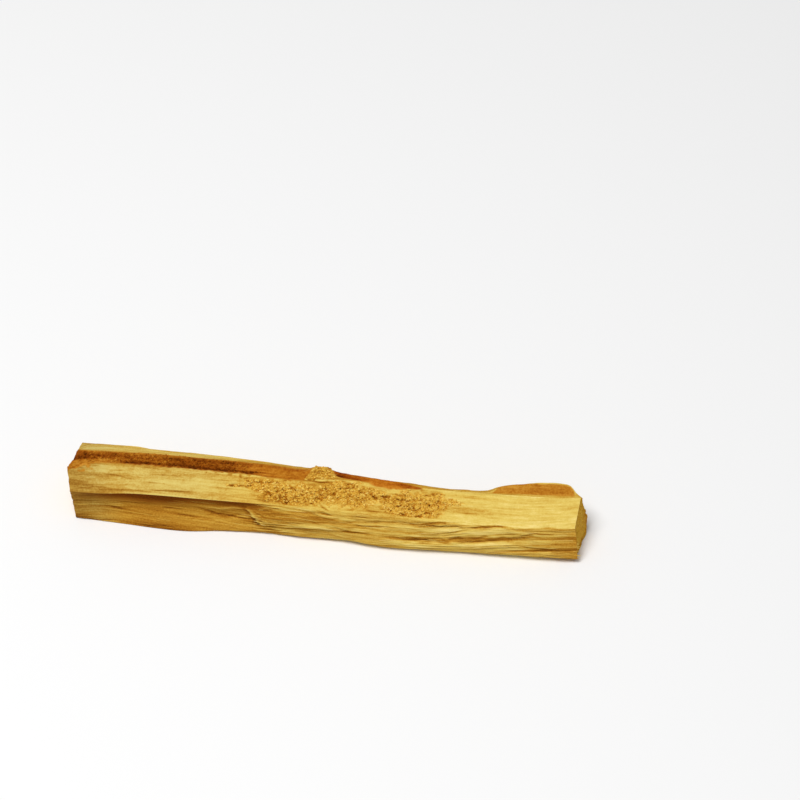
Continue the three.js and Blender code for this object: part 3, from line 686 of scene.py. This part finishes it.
class Finish:
    """A material, and the kinds of node that its pattern is made of."""

    def __init__(self, name, roughness, specular):
        self.material = bpy.data.materials.new(name)
        self.material.use_nodes = True
        self.nodes, self.links = self.material.node_tree.nodes, self.material.node_tree.links
        self.shader = self.nodes["Principled BSDF"]
        self.feed(roughness, self.shader.inputs["Roughness"])
        self.feed(specular, self.shader.inputs["Specular IOR Level"])

    def feed(self, value, socket):
        """Sets a socket to a number, a list or a tuple, which is a colour, or links it to an output."""
        if isinstance(value, bpy.types.NodeSocket):
            self.links.new(value, socket)
        else:
            socket.default_value = (*value, 1) if isinstance(value, tuple) else value

    def node(self, kind, **inputs):
        """A new node, with its inputs set or linked."""
        node = self.nodes.new("ShaderNode" + kind)
        for name, value in inputs.items():
            self.feed(value, node.inputs[name])
        return node

    def painted(self, name, output="Fac"):
        """What was painted on the mesh under a name."""
        node = self.node("Attribute")
        node.attribute_name = name
        return node.outputs[output]

    def noise(self, vector, cell, detail=2.0, offset=0.0):
        """Noise from 0 to 1 in cells of three given sizes, in the units of the coordinates."""
        scale = [1 / size for size in cell]
        cells = self.node("Mapping", Vector=vector, Location=[offset] * 3, Scale=scale)
        noise = self.node("TexNoise", Vector=cells.outputs["Vector"], Scale=1.0, Detail=detail)
        return noise.outputs["Fac"]

    def growth_rings(self, vector, pith, scale, distortion):
        """Rings from 0 to 1 along the stick, drawn about a pith that lies outside it."""
        about_pith = self.node("Mapping", Vector=vector, Location=pith).outputs["Vector"]
        rings = self.node("TexWave", Vector=about_pith, Scale=scale, Distortion=distortion, Detail=3.0)
        rings.wave_type, rings.rings_direction = "RINGS", "X"
        return rings.outputs["Fac"]

    def math(self, kind, first, second):
        """One sum on two numbers or outputs."""
        node = self.node("Math")
        node.operation = kind
        self.feed(first, node.inputs[0])
        self.feed(second, node.inputs[1])
        return node.outputs["Value"]

    def added(self, first, *others):
        """All of them added together."""
        for other in others:
            first = self.math("ADD", first, other)
        return first

    def times(self, first, second):
        """The two multiplied."""
        return self.math("MULTIPLY", first, second)

    def swing(self, value, amount):
        """A noise from 0 to 1 turned into one from minus to plus half the amount."""
        return self.times(self.math("SUBTRACT", value, 0.5), amount)

    def ramp(self, value, stops):
        """The colour at a value, on a ramp through the given positions and colours."""
        node = self.node("ValToRGB", Fac=value)
        elements = node.color_ramp.elements
        elements.remove(elements[1])
        elements[0].position, elements[0].color = stops[0][0], (*stops[0][1], 1)
        for position, colour in stops[1:]:
            elements.new(position).color = (*colour, 1)
        return node.outputs["Color"]

    def blend(self, factor, first, second, kind="MIX"):
        """The first colour at a factor of 0, going over to the second, or to their product, at 1."""
        node = self.node("Mix")
        node.data_type, node.blend_type = "RGBA", kind
        self.feed(factor, node.inputs["Factor"])
        self.feed(first, node.inputs["A"])
        self.feed(second, node.inputs["B"])
        return node.outputs["Result"]

    def tinted(self, colour, name, tint):
        """The colour, multiplied by a tint where what was painted under the name is 1."""
        return self.blend(self.painted(name), colour, self.blend(1.0, colour, tint, "MULTIPLY"))

    def bump(self, height, distance_mm):
        """Tilts the surface's shading by a height from 0 to 1 that stands for a distance."""
        node = self.node("Bump", Height=height, Strength=1.0, Distance=distance_mm * MM)
        self.feed(node.outputs["Normal"], self.shader.inputs["Normal"])


def wood_finish():
    """Dry, matt wood. Its colour goes by the painted darkness, with finer streaks along the fibres and, on
    the cut ends, growth rings, saw scratches and pores. Bark and the hollow's painted shade are blended
    over it, and tints over both."""
    wood = Finish("palo_santo_wood", roughness=0.7, specular=0.03)
    run = wood.painted("fibre", "Vector")
    fine = wood.noise(run, (2.6, 0.2, 0.2), detail=3.0)
    streak = wood.noise(run, (9.0, 0.5, 0.5), detail=4.0, offset=5.0)
    sand = wood.noise(run, (0.34, 0.28, 0.28), offset=9.0)
    scratches = wood.noise(run, (0.6, 2.4, 0.13), detail=4.0, offset=3.0)
    rings = wood.growth_rings(run, pith=[0, 13.0, 6.0], scale=0.42, distortion=1.6)
    pores = wood.noise(run, (0.5, 0.15, 0.15), detail=1.0, offset=7.0)
    pores = wood.math("MAXIMUM", wood.math("SUBTRACT", pores, 0.58), 0.0)

    grained = wood.added(wood.swing(fine, 0.5), wood.swing(streak, 0.5))
    sawn = wood.added(wood.swing(rings, 0.05), wood.swing(scratches, 0.4), wood.times(pores, 1.5))
    darkness = wood.added(wood.painted("dark"), wood.times(wood.painted("torn"), grained),
                          wood.swing(sand, 0.3), wood.times(wood.painted("crumb"), wood.swing(sand, 0.5)),
                          wood.times(wood.painted("cut"), sawn))

    colour = wood.ramp(darkness, WOOD)
    colour = wood.tinted(colour, "crumb", WARMER_CRUMB)
    colour = wood.tinted(colour, "cut", GOLDEN_CUT)
    glow = wood.added(wood.painted("ember"), wood.swing(sand, 0.5))
    colour = wood.blend(wood.painted("bark_and_hollow_shade"), colour, wood.ramp(glow, BARK))
    colour = wood.tinted(colour, "rust", REDDER_BARK)
    colour = wood.tinted(colour, "weathered", GREYER_WOOD)
    wood.feed(colour, wood.shader.inputs["Base Color"])

    rough = wood.added(fine, wood.times(sand, 0.6))
    scratched = wood.times(wood.painted("cut"), wood.times(scratches, 1.5))
    wood.bump(wood.added(rough, scratched), distance_mm=0.06)
    return wood.material


stick.data.materials.append(wood_finish())

# Crumbly grains. The torn patch and the broken lump are crumbly: short angular bits of broken fibre stand
# in them, still fast in the wood. Each is a small closed lump of two uneven rings.
GRAIN_SIDES = 5
GRAIN_STOPS = np.array([-1.0, -0.6, 0.6, 1.0])  # its two ends and its two rings, in halves of its length
ALONG = np.array([1.0, 0.0, 0.0])


def closed_bits(name, paths, across, upward, girth):
    """Many closed bits in one mesh, each a path of points with a ring on every one but the first and last,
    which close it. A ring's half sizes are the across and upward rows times girth."""
    count = len(paths)
    rings, sides = girth.shape[1:]
    turn = 2 * np.pi * np.arange(sides)[:, None] / sides
    ring = np.cos(turn) * across[:, None, None] + np.sin(turn) * upward[:, None, None]
    body = (paths[:, 1:-1, None] + girth[..., None] * ring).reshape(count, -1, 3)
    corners = np.concatenate([body, paths[:, :1], paths[:, -1:]], axis=1)
    here = np.arange(sides)
    onward = (here + 1) % sides
    level = (np.arange(rings - 1) * sides)[:, None]
    wall = np.stack([level + here, level + onward, level + onward + sides,
                     level + here, level + onward + sides, level + here + sides], axis=-1).reshape(-1, 3)
    last = (rings - 1) * sides
    start_fan = np.stack([np.full(sides, rings * sides), onward, here], axis=-1)
    end_fan = np.stack([np.full(sides, rings * sides + 1), last + here, last + onward], axis=-1)
    one = np.concatenate([wall, start_fan, end_fan])
    faces = (one[None] + (np.arange(count) * corners.shape[1])[:, None, None]).reshape(-1, 3)
    return piece_of(name, kept_inside(corners.reshape(-1, 3)), faces.tolist())


def scattered(weight, count):
    """Rows and columns of points of the skin drawn at random, more often where the weight is high."""
    share = (weight / weight.sum()).ravel()
    return np.unravel_index(rng.choice(share.size, count, p=share), weight.shape)


def crumbs(name, at, lengths, widths, spread, sink):
    """Uneven grains at points of the skin. Each lies along the fibres, turned and tipped at random by up
    to spread, with its middle sink below the skin."""
    count = len(at[0])
    up = outward[at]
    sideways = np.cross(up, ALONG)
    turn, tip = rng.uniform(-spread, spread, (2, count, 1))
    along = ALONG * np.cos(turn) + sideways * np.sin(turn)
    across = sideways * np.cos(turn) - ALONG * np.sin(turn)
    along = along * np.cos(0.4 * tip) + up * np.sin(0.4 * tip)
    half_length = rng.uniform(*lengths, (count, 1, 1)) / 2
    half_width = rng.uniform(*widths, (count, 1)) / 2
    reach = GRAIN_STOPS[None, :, None] * half_length
    middle = skin[at] + rng.uniform(-0.1, 0.1, (count, 3)) - up * sink
    girth = rng.uniform(0.6, 1.2, (count, 2, GRAIN_SIDES))
    return closed_bits(name, middle[:, None] + along[:, None] * reach, across * half_width,
                       up * half_width * rng.uniform(0.7, 1.1, (count, 1)), girth)


def bit_finish(name, stops):
    """The colour of loose bits: each takes its own shade from the ramp, with a little fine speckle."""
    bit = Finish(name, roughness=0.8, specular=0.03)
    position = bit.node("TexCoord").outputs["Object"]
    sand = bit.noise(position, (0.3 * MM, 0.2 * MM, 0.2 * MM))
    colour = bit.ramp(bit.added(bit.painted("dark"), bit.swing(sand, 0.2)), stops)
    bit.feed(colour, bit.shader.inputs["Base Color"])
    return bit.material


def finished(piece, shades, material):
    """Gives every bit of a piece its own shade, and the piece its material."""
    paint(piece, "dark", np.repeat(shades, len(piece.data.vertices) // len(shades)))
    piece.data.materials.append(material)


CRUMB_COLOURS = [
    (0.0, (0.86, 0.6, 0.14)), (0.3, (0.75, 0.45, 0.06)), (0.55, (0.58, 0.275, 0.024)),
    (0.8, (0.36, 0.125, 0.006)), (1.0, (0.16, 0.045, 0.002)),
]
CRUMBS = 5600
crumbly = crumb**1.5 * (dark < 0.85) * np.clip(0.6 + 0.8 * lumps, 0.05, 1) + 0.2 * broken
at = scattered(crumbly, CRUMBS)
grains = crumbs("crumbly_grains", at, lengths=(0.22, 0.8), widths=(0.15, 0.4), spread=0.9, sink=0.06)
crumb_shades = np.clip(rng.normal(0.36, 0.19, CRUMBS) + 0.4 * (dark[at] - 0.6), 0, 0.95)
finished(grains, crumb_shades, bit_finish("crumbly_wood", CRUMB_COLOURS))

# Bark grains. The dark bark in the channel is dry and granular, so short bits of it stand up everywhere, a
# little smaller than the wood's. They stay clear of the sawn ends, where the saw took them off.
BARK_GRAINS = 3000
inside_ends = ((middle_x > middle_x[0] + 1.2) & (middle_x < middle_x[-1] - 1.6))[:, None]
at = scattered(chestnut**2 * smooth(channel_place, 0.02, 0.1) * inside_ends, BARK_GRAINS)
grains = crumbs("bark_grains", at, lengths=(0.2, 0.6), widths=(0.14, 0.3), spread=1.2, sink=0.09)
bark_shades = np.clip(ember[at] + rng.normal(0.02, 0.12, BARK_GRAINS), 0.1, 0.95)
finished(grains, bark_shades, bit_finish("bark_and_hollow_shade", BARK))

# Lifted fibres. Where the stick was split, single fibres have come loose from the wood and lie along it, a
# few of them with one end in the air. Each is a thin closed rod of four sides that tapers to both ends.
FIBRES = 1700
FIBRE_STOPS = 8
FIBRE_SIDES = 4
RAISED_BY, RAISED_SHARE = 0.2, 0.07  # how high the free ends stand, and how many fibres have one
PROUD = 0.015  # how far the others stand out of the wood


def skin_between(row, column):
    """The skin at rows and columns that needn't be whole, blended from the four points round each."""
    r, c = row.astype(int), column.astype(int)
    down, over = (row - r)[..., None], (column - c)[..., None]
    return ((skin[r, c] * (1 - down) + skin[r + 1, c] * down) * (1 - over)
            + (skin[r, c + 1] * (1 - down) + skin[r + 1, c + 1] * down) * over)


loose = np.select([front & (place > 0.6), top, place < BACK, back], [1.0, 0.03, 0.2, 1.0], 0)
loose = loose * np.clip(1 - crumb - bark_and_hollow_shade, 0, 1) * torn * inside_ends * (1 - 0.6 * front * (x < -12))
at = scattered(loose, FIBRES)
climb = -np.gradient(fibre[..., 1], axis=0) / np.maximum(np.gradient(fibre[..., 1], axis=1), 0.08)
reach = rng.uniform(3, 13, FIBRES)[:, None] * np.linspace(-1, 1, FIBRE_STOPS)
paths = skin_between(np.clip(at[0][:, None] + reach, 2, STATIONS - 3),
                     np.clip(at[1][:, None] + reach * climb[at][:, None], 1, ROUND - 2.001))
up = outward[at]
lifted = rng.choice([0.0, RAISED_BY], FIBRES, p=[1 - RAISED_SHARE, RAISED_SHARE])
lifted = lifted[:, None] * np.linspace(0, 1, FIBRE_STOPS) ** 2
paths = paths + up[:, None] * (PROUD + lifted)[..., None]
half_width = rng.uniform(0.03, 0.065, (FIBRES, 1))
tapering = np.sin(np.linspace(0, np.pi, FIBRE_STOPS)[1:-1]) ** 0.6
girth = np.broadcast_to(tapering[None, :, None], (FIBRES, FIBRE_STOPS - 2, FIBRE_SIDES))
rods = closed_bits("lifted_fibres", paths, np.cross(up, ALONG) * half_width, up * half_width * 0.7, girth)
fibre_wood = bit_finish("fibre_wood", WOOD)
finished(rods, np.clip(dark[at] + rng.normal(-0.08, 0.14, FIBRES), 0, 0.9), fibre_wood)

# Splinters. At the lower front corner of the right end the saw came out of the wood and left small tufts
# of fibres frayed and curling, each fibre a flat closed rod rooted in the cut.
SPLINTERS, TUFTS = 28, 6
SPLINTER_STOPS = 6
SPLINTER_TAPER = np.array([1.0, 1.0, 0.8, 0.5])
ROOT_DEPTH = 0.9
corner = np.flatnonzero((place[0] > 0.9) & (place[0] < 2.1))
tuft = rng.choice(corner, TUFTS)
root = skin[-1][rng.choice(tuft, SPLINTERS)]
inward = (right_middle - root) * rng.uniform(0.02, 0.1, (SPLINTERS, 1)) * [0, 1, 1]
root = root + inward - ROOT_DEPTH * ALONG
root[:, 2] += rng.normal(0, 0.12, SPLINTERS)
lean = np.column_stack([ROOT_DEPTH + rng.gamma(1.6, 0.22, SPLINTERS), rng.normal(-0.05, 0.07, SPLINTERS),
                        rng.normal(-0.03, 0.09, SPLINTERS)])
on_its_way = np.linspace(0, 1, SPLINTER_STOPS)[:, None]
curl = rng.normal(0, 0.12, (SPLINTERS, 1, 3)) * [0, 1, 1] * on_its_way**3
paths = root[:, None] + lean[:, None] * on_its_way + curl
half_width = rng.uniform(0.02, 0.075, (SPLINTERS, 1))
half_thickness = np.minimum(half_width, 0.03)
girth = np.broadcast_to(SPLINTER_TAPER[None, :, None], (SPLINTERS, SPLINTER_STOPS - 2, FIBRE_SIDES))
splinters = closed_bits("end_splinters", paths, np.array([[0, 0.4, 1.0]]) * half_width,
                        np.array([[0, 1.0, -0.4]]) * half_thickness, girth)
finished(splinters, rng.uniform(0.1, 0.5, SPLINTERS), fibre_wood)

# The studio. A white paper floor, one soft light overhead and the camera at the photograph's angle.
FLOOR = 2.0  # metres from its middle to each edge
floor_mesh = bpy.data.meshes.new("floor")
floor_mesh.from_pydata([(-FLOOR, -FLOOR, 0), (FLOOR, -FLOOR, 0), (FLOOR, FLOOR, 0), (-FLOOR, FLOOR, 0)], [],
                       [(0, 1, 2, 3)])
floor = placed("floor", floor_mesh)
paper = Finish("white_paper", roughness=0.9, specular=0.2)
paper.feed((0.92, 0.92, 0.92), paper.shader.inputs["Base Color"])
floor_mesh.materials.append(paper.material)

scene = bpy.context.scene
scene.view_settings.view_transform = "Standard"
world = bpy.data.worlds.new("studio")
world.use_nodes = True
walls = world.node_tree.nodes["Background"].inputs
walls["Color"].default_value = (1, 1, 1, 1)
walls["Strength"].default_value = 0.3
scene.world = world

lamp = bpy.data.lights.new("overhead", "AREA")
lamp.size = 0.42
lamp.energy = 7.05
light = placed("overhead", lamp)
light.location = (-0.2, -0.2, 0.88)
light.rotation_euler = (-light.location).to_track_quat("-Z", "Y").to_euler()

ELEVATION, AZIMUTH = np.radians(48.0), np.radians(7.0)
AIM = Vector((0.01038, 0.03225, 0.0))  # what the middle of the picture looks at, on the floor
DISTANCE = 0.75
PIXELS_PER_METRE = 5000  # of the photograph, at that distance
SENSOR, PICTURE = 36.0, 800
level, height = np.cos(ELEVATION), np.sin(ELEVATION)
towards = Vector((np.sin(AZIMUTH) * level, -np.cos(AZIMUTH) * level, height))
right = Vector((np.cos(AZIMUTH), np.sin(AZIMUTH), 0))
turned = Matrix((right, towards.cross(right), towards)).transposed().to_4x4()
lens = bpy.data.cameras.new("camera")
lens.sensor_width = SENSOR
lens.lens = SENSOR * PIXELS_PER_METRE * DISTANCE / PICTURE
lens.clip_start, lens.clip_end = 0.01, 10
camera = placed("camera", lens)
camera.matrix_world = Matrix.Translation(AIM + towards * DISTANCE) @ turned
scene.camera = camera
